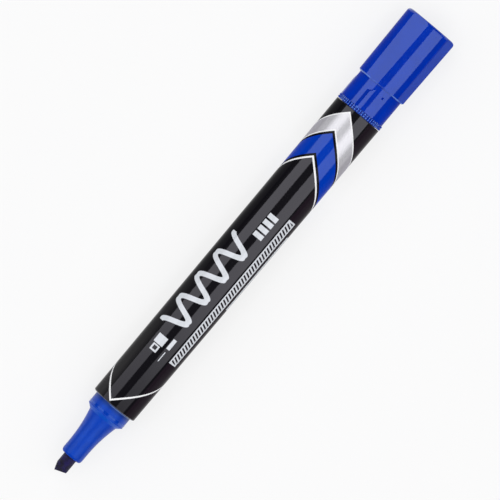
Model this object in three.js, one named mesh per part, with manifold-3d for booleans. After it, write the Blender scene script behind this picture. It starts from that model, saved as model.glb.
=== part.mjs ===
// Chisel nib permanent marker with its cap posted on the tail, lying on its side. Millimetres.
// The nib points to -X, the cap's closed end to +X, and +Z is up. The cap's lowest line is at z = 0.
import * as THREE from 'three';
import { mergeVertices } from 'three/addons/utils/BufferGeometryUtils.js';
import Module from 'manifold-3d';

const wasm = await Module();
wasm.setup();

// Clearances
const pressGap = 0.3; // all round a piece that is pressed into another
const slipGap = 0.3; // all round a piece that slips into another
const capClearance = 0.15; // all round the snap bead in the cap's bore
const capSeatGap = 0.1; // between the cap's rim and the barrel's tail face
const endPlay = 0.3; // at each end of the reservoir, and ahead of the nib's tail
const lipGap = 0.3; // between the inner cap's lip and the front of the collar

// Barrel
const barrelLength = 105.6;
const barrelBore = 5.6; // radius
const barrelTaper = 0.37; // how much the radius drops from the tail to the nib end
const barrelFrontRound = 0.4;
const barrelTailBevel = 0.12;

// Collar that the cap snaps on, made on the nib holder and again on the tail plug
const collarSeat = 0.38; // width of the shoulder that stops against the barrel's end face
const collarLength = 4.72;
const collarBevelLength = 1.1; // from the bead to the collar's front edge
const beadHeight = 0.09;
const beadWidth = 1.1;

// Nib holder
const neckWall = 0.96;
const neckStraight = 3.35; // straight stretch behind the mouth
const flareLength = 10.68; // concave stretch from the straight one to the collar
const flareRadius = 43.6; // of the concave curve, seen from the side
const mouthWall = 0.25; // width of the mouth's flat rim
const mouthRound = 1.1; // length of the rounded nose behind the mouth
const holderPlugLength = 12;
const holderPocketDepth = 9;
const nibTubeWall = 1;
const ventCount = 3;
const ventWidth = 0.8;
const ventDepth = 0.35;
const ventStart = 3; // from the mouth

// Plugs that close both ends of the barrel
const plugWall = 0.9;
const plugLeadIn = 0.5;
const sealHeight = 0.15;
const sealWidth = 0.9;
const sealPlaces = [2.2, 5.2]; // crests of the two seal beads, from the barrel's end face

// Nib
const nibRadius = 2.05;
const nibReach = 5.55; // from the holder's mouth to the long corner
const nibTail = 8; // inside the reservoir
const nibTailTaper = 1.2;
const chiselAngle = 20.8; // degrees between the writing edge and a square cut
const chiselEdge = 1.3; // thickness of the writing edge
const chiselWedge = 33; // degrees between each chisel face and the axis
const longCornerOffset = 1.2; // from the axis to the long corner
const cornerBevelAngle = 19.5; // degrees between the long corner's bevel and the axis

// Ink reservoir and its film
const filmThickness = 0.15;
const filmInset = 1; // how far the fibre stands out of the film at each end

// Tail plug
const tailPlugLength = 9;
const tailEndWall = 1.2;
const finThickness = 0.8;
const finSetback = 0.5; // from the plug's rim to the cross of fins
const finDepth = 6;

// Cap
const skirtWall = 1;
const skirtLength = 8.2;
const capEndWall = 1.6;
const capMouthBevel = 0.3;
const headStep = 0.7; // from the skirt's surface out to the head's
const headStepBevel = 0.35;
const headFlare = 0.3; // how much the head's radius grows to the closed end
const headEndRound = 0.7;

// Shallow flats round the head
const flatCount = 4;
const flatAngle = 26.6; // degrees from straight up to the first flat
const flatFront = 7.55; // from the axis to the flat, at the step
const flatRise = 0.14; // how much farther out the flat is at the closed end

// Toothed ring at the cap's rim
const ringWidth = 1.42;
const ringHeight = 0.3; // tooth crest over the skirt
const ringProud = 0.08; // tooth crest over the barrel's tail
const ringBevel = 0.2;
const toothCount = 56;
const toothDepth = 0.26;

// Ribs on the skirt
const ribCount = 3; // the fourth quarter is bare
const ribAngle = 12; // degrees from straight up to the first rib
const ribSpacing = 90; // degrees from one rib to the next
const ribHeight = 0.36;
const ribFoot = 2.1; // width at the foot
const ribLength = 6; // along the ridge line, from the ring to the end of the foot
const ribEndSlope = 36; // degrees between the end face and the skirt
const ribEndSkew = 32; // degrees that the end face is turned from square

// Inner cap
const linerWall = 0.9;
const linerFloor = 0.9;
const linerLip = 0.4; // bevel inside the lip
const nibRoom = 5.1; // free length ahead of the nib when the cap is on

// Facets
const roundSteps = 48; // round each turned piece
const arcSteps = 4; // in each rounded corner or bead
const flareSteps = 8; // along the holder's concave stretch

// Radii and lengths worked out from the sizes above
const collarRadius = barrelBore + collarSeat;
const beadRadius = collarRadius + beadHeight;
const beadPlace = collarLength - collarBevelLength - beadWidth / 2;
const capBore = beadRadius + capClearance;
const skirtRadius = capBore + skirtWall;
const ringCrest = skirtRadius + ringHeight;
const headFrontRadius = skirtRadius + headStep;
const headEndRadius = headFrontRadius + headFlare;
const barrelTailRadius = ringCrest - ringProud;
const barrelFrontRadius = barrelTailRadius - barrelTaper;
const plugSealRadius = barrelBore - pressGap;
const plugRadius = plugSealRadius - sealHeight;
const plugBore = plugRadius - plugWall;
const nibBore = nibRadius + pressGap;
const neckRadius = nibBore + neckWall;
const flareRise = flareRadius - Math.sqrt(flareRadius ** 2 - flareLength ** 2);
const coneRadius = neckRadius + flareRise;
const neckLength = neckStraight + flareLength;
const holderReach = collarLength + neckLength;
const reservoirLength = barrelLength - holderPlugLength - tailPlugLength - 2 * endPlay;
const filmRadius = barrelBore - slipGap;
const fibreRadius = filmRadius - filmThickness - slipGap;
const linerRadius = capBore - pressGap;
const linerBore = linerRadius - linerWall;
const linerStart = collarLength + lipGap;
const linerEnd = holderReach + nibReach + nibRoom + linerFloor;
const capLength = linerEnd + capEndWall;
const skirtEnd = ringWidth + skirtLength;
const axisHeight = Math.max(headEndRadius, ringCrest, skirtRadius + ribHeight);

const radians = THREE.MathUtils.degToRad;

// A closed geometry as a solid to cut and join. Its shared vertices are merged, and the
// flat slivers that a profile leaves where it meets the axis are left out.
function solidOf(geometry) {
  const bare = geometry.index ? geometry.clone() : mergeVertices(geometry);
  bare.deleteAttribute('normal');
  bare.deleteAttribute('uv');
  const merged = mergeVertices(bare);
  const corners = merged.index.array;
  const kept = [];
  for (let i = 0; i < corners.length; i += 3) {
    const [a, b, c] = corners.slice(i, i + 3);
    if (a !== b && b !== c && c !== a) kept.push(a, b, c);
  }
  return new wasm.Manifold(new wasm.Mesh({
    numProp: 3,
    vertProperties: new Float32Array(merged.attributes.position.array),
    triVerts: new Uint32Array(kept),
  }));
}

// A piece turned about the X axis, from a list of [distance along X, radius] that runs round its
// section with the material on the right. A section that doesn't end on the axis is closed.
function turned(section, steps) {
  const points = section.map(([along, radius]) => new THREE.Vector2(radius, along));
  const open = points[0].x > 0 || points[points.length - 1].x > 0;
  if (open) points.push(points[0].clone());
  const geometry = new THREE.LatheGeometry(points, steps);
  geometry.rotateZ(-Math.PI / 2);
  return solidOf(geometry);
}

// Points of a quarter round from one [along, radius] corner to the other about a centre.
function quarterRound(centre, reach, startAngle) {
  return Array.from({ length: arcSteps + 1 }, (_, i) => {
    const angle = radians(startAngle - (90 * i) / arcSteps);
    return [centre[0] + reach * Math.cos(angle), centre[1] + reach * Math.sin(angle)];
  });
}

// Points of a low round bead on a cylinder, in growing distance.
function beadPoints(crestAt, width, radius, height) {
  return Array.from({ length: arcSteps + 1 }, (_, i) => {
    const share = (2 * i) / arcSteps - 1;
    return [crestAt + (share * width) / 2, radius + height * Math.cos((share * Math.PI) / 2)];
  });
}

// A block whose one face lies on the plane through a point, on the side that the normal points to.
function cutter(point, normal, size) {
  const block = new THREE.BoxGeometry(size, size, size);
  block.translate(size / 2, 0, 0);
  const turn = new THREE.Quaternion().setFromUnitVectors(new THREE.Vector3(1, 0, 0), normal);
  block.applyQuaternion(turn);
  block.translate(point.x, point.y, point.z);
  return solidOf(block);
}

// A flat outline of [y, z] points pushed along X from one place to another.
function prism(outline, from, to) {
  const shape = new THREE.Shape(outline.map(([y, z]) => new THREE.Vector2(y, z)));
  const geometry = new THREE.ExtrudeGeometry(shape, { depth: to - from, bevelEnabled: false });
  // The outline's own x and y become Y and Z, and its depth becomes X.
  const axes = new THREE.Matrix4().makeBasis(
    new THREE.Vector3(0, 1, 0),
    new THREE.Vector3(0, 0, 1),
    new THREE.Vector3(1, 0, 0),
  );
  geometry.applyMatrix4(axes);
  geometry.translate(from, 0, 0);
  return solidOf(geometry);
}

function spunAboutX(solid, degrees) {
  return solid.rotate([degrees, 0, 0]);
}

function pieceOf(name, solid, look) {
  const { vertProperties, triVerts } = solid.getMesh();
  const geometry = new THREE.BufferGeometry();
  geometry.setAttribute('position', new THREE.BufferAttribute(vertProperties, 3));
  geometry.setIndex(new THREE.BufferAttribute(triVerts, 1));
  geometry.computeVertexNormals();
  const mesh = new THREE.Mesh(geometry, new THREE.MeshStandardMaterial(look));
  mesh.name = name;
  return mesh;
}

const looks = {
  blackPlastic: { color: 0x14171c, roughness: 0.25, metalness: 0 },
  bluePlastic: { color: 0x0330a4, roughness: 0.25, metalness: 0 },
  satinBlue: { color: 0x1e4bbe, roughness: 0.45, metalness: 0 },
  inkedFelt: { color: 0x1c1638, roughness: 0.8, metalness: 0 },
  inkedFibre: { color: 0x1c2a78, roughness: 0.95, metalness: 0 },
  clearFilm: { color: 0xd8dce6, roughness: 0.2, metalness: 0 },
  milkyPlastic: { color: 0xe6e8ea, roughness: 0.5, metalness: 0 },
};

// The barrel, from its nib end at x = 0.
function makeBarrel() {
  const section = [
    [0, barrelBore],
    ...quarterRound([barrelFrontRound, barrelFrontRadius - barrelFrontRound], barrelFrontRound, 180),
    [barrelLength - barrelTailBevel, barrelTailRadius],
    [barrelLength, barrelTailRadius - barrelTailBevel],
    [barrelLength, barrelBore],
  ];
  return pieceOf('barrel', turned(section, roundSteps), looks.blackPlastic);
}

// The outside of a plug and its collar, from the plug's rim inside the barrel (negative distance)
// to the collar's far edge. The barrel's end face is at distance 0.
function plugAndCollar(plugLength) {
  const seals = sealPlaces.map((place) => beadPoints(-place, sealWidth, plugRadius, sealHeight));
  return [
    [-plugLength, plugRadius - plugLeadIn / 2],
    [-plugLength + plugLeadIn, plugRadius],
    ...seals.reverse().flat(),
    [0, plugRadius],
    [0, collarRadius],
    ...beadPoints(beadPlace, beadWidth, collarRadius, beadHeight),
    [collarLength, coneRadius],
  ];
}

// The nib holder, from the barrel's nib end at x = 0. Its section is written with the distance
// growing towards the nib, and turned over to face -X.
function makeNibHolder() {
  const flare = Array.from({ length: flareSteps }, (_, i) => {
    const left = flareLength * (1 - (i + 1) / flareSteps);
    const rise = flareRadius - Math.sqrt(flareRadius ** 2 - left ** 2);
    return [holderReach - neckStraight - left, neckRadius + rise];
  });
  const noseStart = holderReach - mouthRound;
  const noseDrop = neckRadius - nibBore - mouthWall;
  const nose = Array.from({ length: arcSteps + 1 }, (_, i) => {
    const angle = radians((90 * i) / arcSteps);
    return [noseStart + mouthRound * Math.sin(angle), neckRadius - noseDrop * (1 - Math.cos(angle))];
  });
  const pocketEnd = -holderPlugLength + holderPocketDepth;
  const tubeRadius = nibBore + nibTubeWall;
  const section = [
    ...plugAndCollar(holderPlugLength),
    ...flare,
    ...nose,
    [holderReach, nibBore],
    [-holderPlugLength, nibBore],
    [-holderPlugLength, tubeRadius],
    [pocketEnd, tubeRadius],
    [pocketEnd, plugBore],
    [-holderPlugLength, plugBore],
  ];
  let holder = turned(section, roundSteps);
  for (let i = 0; i < ventCount; i += 1) {
    const half = ventWidth / 2;
    const deep = nibBore + ventDepth;
    const outline = [[-half, 0], [half, 0], [half, deep], [-half, deep]];
    const groove = prism(outline, -holderPlugLength - 1, holderReach - ventStart);
    holder = holder.subtract(spunAboutX(groove, (360 * i) / ventCount));
  }
  return pieceOf('nib_holder', holder.rotate([0, 0, 180]), looks.satinBlue);
}

// The nib, from the holder's mouth at x = 0, with the rod running back to +X.
function makeNib() {
  const tailEnd = holderReach + holderPlugLength + endPlay + nibTail;
  const section = [
    [-nibReach, 0],
    [-nibReach, nibRadius],
    [tailEnd - nibTailTaper, nibRadius],
    [tailEnd, nibRadius / 2],
    [tailEnd, 0],
  ];
  const size = 4 * nibRadius + nibReach;
  const corner = new THREE.Vector3(-nibReach, longCornerOffset, 0);
  const slant = radians(chiselAngle);
  const square = new THREE.Vector3(-Math.cos(slant), -Math.sin(slant), 0);
  const bevel = radians(cornerBevelAngle);
  const bevelNormal = new THREE.Vector3(-Math.sin(bevel), Math.cos(bevel), 0);
  let nib = turned(section, roundSteps).subtract(cutter(corner, square, size));
  nib = nib.subtract(cutter(corner, bevelNormal, size));
  for (const side of [1, -1]) {
    const wedge = radians(chiselWedge);
    const up = new THREE.Vector3(0, 0, side);
    const normal = square.clone().multiplyScalar(Math.sin(wedge)).addScaledVector(up, Math.cos(wedge));
    const edge = corner.clone().addScaledVector(up, chiselEdge / 2);
    nib = nib.subtract(cutter(edge, normal, size));
  }
  return pieceOf('nib', nib, looks.inkedFelt);
}

// The fibre bundle, from its nib end at x = 0, with the blind hole that the nib's tail sits in.
function makeReservoir() {
  const holeEnd = nibTail + 2 * endPlay;
  const section = [
    [holeEnd, 0],
    [holeEnd, nibBore],
    [0, nibBore],
    [0, fibreRadius],
    [reservoirLength, fibreRadius],
    [reservoirLength, 0],
  ];
  return pieceOf('ink_reservoir', turned(section, roundSteps), looks.inkedFibre);
}

// The film sleeve, in the reservoir's own frame.
function makeFilm() {
  const section = [
    [filmInset, filmRadius],
    [reservoirLength - filmInset, filmRadius],
    [reservoirLength - filmInset, filmRadius - filmThickness],
    [filmInset, filmRadius - filmThickness],
  ];
  return pieceOf('reservoir_film', turned(section, roundSteps), looks.clearFilm);
}

// The tail plug, from the barrel's tail face at x = 0, with its stub towards +X.
function makeTailPlug() {
  const innerEnd = collarLength - tailEndWall;
  const section = [
    [innerEnd, 0],
    [innerEnd, coneRadius - plugWall],
    [innerEnd - plugWall, plugBore],
    [-tailPlugLength, plugBore],
    ...plugAndCollar(tailPlugLength),
    [collarLength, 0],
  ];
  let plug = turned(section, roundSteps);
  const reach = plugBore + plugWall / 2;
  const half = finThickness / 2;
  const fin = prism(
    [[-reach, -half], [reach, -half], [reach, half], [-reach, half]],
    -tailPlugLength + finSetback,
    -tailPlugLength + finSetback + finDepth,
  );
  plug = plug.add(fin).add(spunAboutX(fin, 90));
  return pieceOf('tail_plug', plug, looks.bluePlastic);
}

// The teeth round the cap's rim: a toothed disc turned down to a ring with bevelled edges.
function makeTeeth() {
  const outline = Array.from({ length: 2 * toothCount }, (_, i) => {
    const radius = i % 2 === 0 ? ringCrest : ringCrest - toothDepth;
    const angle = (Math.PI * i) / toothCount;
    return [radius * Math.sin(angle), radius * Math.cos(angle)];
  });
  const seat = capBore + skirtWall / 2;
  const ring = [
    [0, seat],
    [0, ringCrest - ringBevel],
    [ringBevel, ringCrest],
    [ringWidth - ringBevel, ringCrest],
    [ringWidth, ringCrest - ringBevel],
    [ringWidth, seat],
  ];
  return prism(outline, 0, ringWidth).intersect(turned(ring, 2 * toothCount));
}

// One rib on top of the skirt: a low ridge, with a sloping end that is cut askew.
function makeRib() {
  const half = ribFoot / 2;
  const footHeight = Math.sqrt(skirtRadius ** 2 - half ** 2);
  const root = skirtRadius - skirtWall / 2;
  const outline = [
    [-half, root],
    [half, root],
    [half, footHeight],
    [0, skirtRadius + ribHeight],
    [-half, footHeight],
  ];
  const slope = radians(ribEndSlope);
  const skew = radians(ribEndSkew);
  const across = Math.sin(slope);
  const normal = new THREE.Vector3(across * Math.cos(skew), across * Math.sin(skew), Math.cos(slope));
  const end = new THREE.Vector3(ringWidth + ribLength, 0, skirtRadius);
  const rib = prism(outline, ringWidth / 2, skirtEnd);
  return rib.subtract(cutter(end, normal, 2 * skirtRadius));
}

// What a flat on top of the head takes away.
function makeFlatCutter() {
  const slope = Math.atan2(flatRise, capLength - skirtEnd);
  const point = new THREE.Vector3(skirtEnd, 0, flatFront);
  const normal = new THREE.Vector3(-Math.sin(slope), 0, Math.cos(slope));
  return cutter(point, normal, 2 * capLength);
}

// The cap, from its rim at x = 0 to its closed end.
function makeCap() {
  const section = [
    [linerEnd, 0],
    [linerEnd, capBore],
    [capMouthBevel, capBore],
    [0, capBore + capMouthBevel],
    [0, skirtRadius],
    [skirtEnd, skirtRadius],
    [skirtEnd, headFrontRadius - headStepBevel],
    [skirtEnd + headStepBevel, headFrontRadius],
    ...quarterRound([capLength - headEndRound, headEndRadius - headEndRound], headEndRound, 90),
    [capLength, 0],
  ];
  let cap = turned(section, roundSteps);
  const flat = makeFlatCutter();
  for (let i = 0; i < flatCount; i += 1) {
    cap = cap.subtract(spunAboutX(flat, -flatAngle - (360 * i) / flatCount));
  }
  cap = cap.add(makeTeeth());
  const rib = makeRib();
  for (let i = 0; i < ribCount; i += 1) {
    cap = cap.add(spunAboutX(rib, -ribAngle - ribSpacing * i));
  }
  return pieceOf('cap', cap, looks.bluePlastic);
}

// The inner cap, in the cap's own frame: a cup with its lip towards the cap's rim.
function makeInnerCap() {
  const floorAt = linerEnd - linerFloor;
  const section = [
    [floorAt, 0],
    [floorAt, linerBore],
    [linerStart + linerLip, linerBore],
    [linerStart, linerBore + linerLip],
    [linerStart, linerRadius],
    [linerEnd, linerRadius],
    [linerEnd, 0],
  ];
  return pieceOf('inner_cap', turned(section, roundSteps), looks.milkyPlastic);
}

// The scene graph: a marker group from the barrel's nib end, and a cap group from the cap's rim.
const nib = makeNib();
nib.position.x = -holderReach;
const reservoir = new THREE.Group();
reservoir.add(makeReservoir(), makeFilm());
reservoir.position.x = holderPlugLength + endPlay;
const tailPlug = makeTailPlug();
tailPlug.position.x = barrelLength;
const cap = new THREE.Group();
cap.add(makeCap(), makeInnerCap());
cap.position.x = barrelLength + capSeatGap;

const marker = new THREE.Group();
marker.add(makeBarrel(), makeNibHolder(), nib, reservoir, tailPlug, cap);
const frontEnd = -holderReach - nibReach;
const backEnd = barrelLength + capSeatGap + capLength;
marker.position.set(-(frontEnd + backEnd) / 2, 0, axisHeight);

const object = new THREE.Group();
object.add(marker);

export default object;
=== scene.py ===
import math

import bmesh
import bpy
from mathutils import Matrix, Vector


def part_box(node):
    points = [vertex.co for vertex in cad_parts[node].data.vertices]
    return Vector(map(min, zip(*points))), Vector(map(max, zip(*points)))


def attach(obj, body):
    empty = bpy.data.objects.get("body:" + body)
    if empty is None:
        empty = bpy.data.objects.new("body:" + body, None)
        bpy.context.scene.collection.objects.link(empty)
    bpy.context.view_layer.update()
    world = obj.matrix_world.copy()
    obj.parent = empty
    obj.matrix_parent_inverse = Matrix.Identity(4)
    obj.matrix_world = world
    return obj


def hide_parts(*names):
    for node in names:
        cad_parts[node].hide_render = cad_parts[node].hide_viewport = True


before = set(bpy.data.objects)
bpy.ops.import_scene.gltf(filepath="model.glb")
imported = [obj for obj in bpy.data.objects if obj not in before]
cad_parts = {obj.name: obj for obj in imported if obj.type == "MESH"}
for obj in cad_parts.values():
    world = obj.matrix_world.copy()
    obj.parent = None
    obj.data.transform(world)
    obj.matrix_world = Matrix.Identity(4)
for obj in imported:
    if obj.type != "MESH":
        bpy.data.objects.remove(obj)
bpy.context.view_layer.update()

mm = 0.001
samePlace = 1e-7  # metres within which two points are one, or one is on the axis
cutTolerance = 1e-8  # metres within which a point lies on a cutting plane
barrelLow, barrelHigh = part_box("barrel")
holderLow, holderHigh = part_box("nib_holder")
nibLow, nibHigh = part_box("nib")
plugLow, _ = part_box("tail_plug")
capLow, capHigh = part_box("cap")
linerLow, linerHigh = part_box("inner_cap")
axisHeight = (barrelLow.z + barrelHigh.z) / 2
axis = Matrix.Translation((0, 0, axisHeight))


# Shapes

# A section of [along, radius] or [along, radius, corner radius] points, spun round the X axis.
# Lengths are millimetres from startX, and facing -1 turns the section over to run towards -X.
def turned(section, startX, steps=128, facing=1, cornerSegments=5):
    shape = bmesh.new()
    corners = [shape.verts.new((startX + facing * p[0] * mm, 0, p[1] * mm)) for p in section]
    shape.faces.new(corners)
    for corner, point in zip(corners, section):
        if len(point) > 2:
            bmesh.ops.bevel(shape, geom=[corner], offset=point[2] * mm, offset_type="OFFSET",
                            segments=cornerSegments, profile=0.5, affect="VERTICES", material=-1)
    bmesh.ops.delete(shape, geom=shape.faces[:], context="FACES_ONLY")
    onAxis = [e for e in shape.edges if all(v.co.z < samePlace for v in e.verts)]
    bmesh.ops.delete(shape, geom=onAxis, context="EDGES")
    bmesh.ops.spin(shape, geom=shape.verts[:] + shape.edges[:], cent=(0, 0, 0), axis=(1, 0, 0),
                   dvec=(0, 0, 0), angle=2 * math.pi, steps=steps, use_merge=True, use_duplicate=False)
    bmesh.ops.remove_doubles(shape, verts=shape.verts[:], dist=samePlace)
    bmesh.ops.recalc_face_normals(shape, faces=shape.faces[:])
    return shape


def radiusOf(vert):
    return math.hypot(vert.co.y, vert.co.z)


def turnOf(vert):
    return math.atan2(vert.co.y, vert.co.z)  # from straight up towards +Y


# Points of a low round bead on a cylinder, in growing distance.
def beadPoints(crestAt, width, radius, height, count=6):
    shares = [2 * i / count - 1 for i in range(count + 1)]
    return [(crestAt + s * width / 2, radius + height * math.cos(s * math.pi / 2)) for s in shares]


# A closed wedge or bar: an outline of (y, z) points in millimetres, extruded along X.
def bar(outline, fromX, toX):
    shape = bmesh.new()
    face = shape.faces.new([shape.verts.new((fromX * mm, y * mm, z * mm)) for y, z in outline])
    pushed = bmesh.ops.extrude_face_region(shape, geom=[face])["geom"]
    moved = [v for v in pushed if isinstance(v, bmesh.types.BMVert)]
    bmesh.ops.translate(shape, verts=moved, vec=((toX - fromX) * mm, 0, 0))
    bmesh.ops.recalc_face_normals(shape, faces=shape.faces[:])
    return shape


# Cuts a shape by a plane and closes the cut. What the normal points to goes.
def cutOff(shape, point, normal):
    geometry = shape.verts[:] + shape.edges[:] + shape.faces[:]
    bmesh.ops.bisect_plane(shape, geom=geometry, dist=cutTolerance, plane_co=point,
                           plane_no=normal, clear_outer=True, clear_inner=False)
    bmesh.ops.holes_fill(shape, edges=[e for e in shape.edges if e.is_boundary], sides=0)


def spunAboutX(shape, degrees):
    turn = Matrix.Rotation(math.radians(degrees), 3, "X")
    bmesh.ops.rotate(shape, verts=shape.verts[:], cent=(0, 0, 0), matrix=turn)
    return shape


def meshOf(shape, name):
    mesh = bpy.data.meshes.new(name)
    shape.to_mesh(mesh)
    shape.free()
    return mesh


def placed(name, data):
    made = bpy.data.objects.new(name, data)
    bpy.context.scene.collection.objects.link(made)
    return made


# Joins solids to a base or cuts them out of it, one after the other.
def combined(base, name, operation, tools):
    thing = placed(name, meshOf(base, name))
    for i, tool in enumerate(tools):
        helper = placed(f"{name}_tool_{i}", meshOf(tool, f"{name}_tool_{i}"))
        step = thing.modifiers.new("combine", "BOOLEAN")
        step.operation = operation
        step.solver = "EXACT"
        step.object = helper
        bpy.context.view_layer.update()
        graph = bpy.context.evaluated_depsgraph_get()
        result = bpy.data.meshes.new_from_object(thing.evaluated_get(graph))
        thing.modifiers.clear()
        thing.data = result
        bpy.data.objects.remove(helper)
    shape = bmesh.new()
    shape.from_mesh(thing.data)
    bpy.data.objects.remove(thing)
    return shape


# The finished piece: its place is in its mesh, and the object sits at the origin.
def piece(shape, name, body, node, material, sharpAngle=24):
    shape.transform(axis)
    made = placed(name, meshOf(shape, name))
    made.data.shade_smooth()
    made.data.set_sharp_from_angle(angle=math.radians(sharpAngle))
    made.data.materials.append(material)
    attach(made, body)
    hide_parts(node)
    print("stage:", name, len(made.data.polygons), "faces")


# Materials

# A small notebook for one material's nodes: add() makes a node and links what it is given.
# Colours are linear red, green and blue, and lengths are millimetres.
class Nodes:
    def __init__(self, name):
        self.material = bpy.data.materials.new(name)
        self.material.use_nodes = True
        self.tree = self.material.node_tree
        self.tree.nodes.clear()
        self.output = self.tree.nodes.new("ShaderNodeOutputMaterial")

    def link(self, value, socket):
        if isinstance(value, bpy.types.NodeSocket):
            self.tree.links.new(value, socket)
        elif value is not None:
            socket.default_value = (*value, 1) if socket.type == "RGBA" else value

    def add(self, kind, inputs=None, **settings):
        node = self.tree.nodes.new("ShaderNode" + kind)
        for key, value in settings.items():
            setattr(node, key, value)
        for key, value in (inputs or {}).items():
            self.link(value, node.inputs[key])
        return node

    def math(self, operation, a, b=None, c=None, clamp=False):
        node = self.add("Math", operation=operation, use_clamp=clamp)
        for socket, value in zip(node.inputs, (a, b, c)):
            self.link(value, socket)
        return node.outputs[0]

    def times(self, first, *others):
        for other in others:
            first = self.math("MULTIPLY", first, other)
        return first

    # The largest of some masks.
    def anyOf(self, first, *others):
        for other in others:
            first = self.math("MAXIMUM", first, other)
        return first

    # A mask without another one.
    def without(self, mask, other):
        return self.math("SUBTRACT", mask, other, clamp=True)

    # A value that is smaller by a share of itself where a mask is 1.
    def lessened(self, value, mask, share):
        return self.times(value, self.math("MULTIPLY_ADD", mask, -share, 1))

    def mix(self, share, a, b):
        node = self.add("Mix", data_type="RGBA", blend_type="MIX")
        self.link(share, node.inputs[0])
        self.link(a, node.inputs[6])
        self.link(b, node.inputs[7])
        return node.outputs[2]

    def mixValue(self, share, a, b):
        node = self.add("Mix", data_type="FLOAT")
        self.link(share, node.inputs[0])
        self.link(a, node.inputs[2])
        self.link(b, node.inputs[3])
        return node.outputs[0]

    # Object coordinates, with the marker's axis at zero height.
    def place(self, stretch=(1, 1, 1)):
        where = self.add("TexCoord").outputs["Object"]
        scale = tuple(s / mm for s in stretch)
        shift = (0, 0, -axisHeight * scale[2])
        return self.add("Mapping", {"Vector": where, "Location": shift, "Scale": scale}).outputs[0]

    # A point's place along the marker, across it and above its axis.
    def placeParts(self):
        return self.add("SeparateXYZ", {"Vector": self.place()}).outputs

    # How far a point is from the marker's axis.
    def fromAxis(self):
        across = self.place((0, 1, 1))
        return self.add("VectorMath", {0: across}, operation="LENGTH").outputs["Value"]

    # How far round the axis a point is, in radians from straight up towards +Y.
    def turnRound(self):
        _, acrossY, upZ = self.placeParts()
        return self.math("ARCTAN2", acrossY, upZ)

    # Goes smoothly from 0 at one value to 1 at another, either way.
    def ramp(self, value, atZero, atOne):
        node = self.add("MapRange", {"Value": value, "From Min": atZero, "From Max": atOne},
                        interpolation_type="SMOOTHSTEP")
        return node.outputs[0]

    # The same with both ends counted from a start.
    def rampAt(self, value, start, ends):
        return self.ramp(value, start + ends[0], start + ends[1])

    # 1 between two values, with soft ends.
    def within(self, value, low, high, soft):
        inside = self.ramp(value, low - soft, low + soft)
        beyond = self.ramp(value, high - soft, high + soft)
        return self.without(inside, beyond)

    # 1 where two ramps of a value are both 1.
    def pastBoth(self, value, ramps):
        return self.times(*(self.ramp(value, *ramp) for ramp in ramps))

    # 1 between two places along the marker.
    def between(self, low, high, soft):
        return self.within(self.placeParts()[0], low, high, soft)

    # Noise on a point's place, drawn out along an axis where the stretch is under 1.
    def noise(self, scale, detail=3.0, roughness=0.5, stretch=(1, 1, 1), vector=None):
        at = self.place(stretch) if vector is None else vector
        node = self.add("TexNoise", {"Vector": at, "Scale": scale, "Detail": detail,
                                     "Roughness": roughness})
        return node.outputs["Fac"]

    def bump(self, height, distance, normal=None):
        return self.add("Bump", {"Height": height, "Distance": distance * mm, "Strength": 1,
                                 "Normal": normal}).outputs[0]

    # Gloss with a full level on the long sides, a lower one where these are seen at a slant, and
    # one of its own on bevels and end faces, which lean along the axis.
    def slantGloss(self, level, slantLevel, leanLevel):
        facing = self.add("LayerWeight", {"Blend": 0.5}).outputs["Facing"]
        normal = self.add("TexCoord").outputs["Normal"]
        lean = self.math("ABSOLUTE", self.add("SeparateXYZ", {"Vector": normal}).outputs["X"])
        onSide = self.mixValue(self.ramp(facing, *glossZones["slant"]), level, slantLevel)
        return self.mixValue(self.ramp(lean, *glossZones["lean"]), onSide, leanLevel)

    def finish(self, **inputs):
        shader = self.add("BsdfPrincipled")
        for key, value in inputs.items():
            self.link(value, shader.inputs[key.replace("_", " ")])
        self.link(shader.outputs[0], self.output.inputs["Surface"])
        return self.material


# Where a surface starts and ends to count as seen at a slant, and as leaning along the axis.
glossZones = {"slant": (0.17, 0.27), "lean": (0.15, 0.35)}

# Fine wear and moulding marks that the glossy plastics share: long drag scratches and a broad
# cloud in the roughness, and a faint orange peel.
mouldedLook = {
    "drag": {"scale": 9.0, "detail": 4.0, "stretch": (0.12, 1, 1)},
    "dragShare": 0.6,  # the rest is the cloud's
    "cloud": {"scale": 0.35, "detail": 2.0},
    "peel": {"scale": 2.2, "detail": 1.0},
    "peelHeight": 0.004,
}


def moulded(nodes, roughness, spread):
    look = mouldedLook
    drag, cloud, peel = (nodes.noise(**look[k]) for k in ("drag", "cloud", "peel"))
    wearAndHighlight = nodes.mixValue(look["dragShare"], cloud, drag)
    rough = nodes.math("MULTIPLY_ADD", wearAndHighlight, spread, roughness - spread / 2)
    return rough, nodes.bump(peel, look["peelHeight"])


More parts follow.
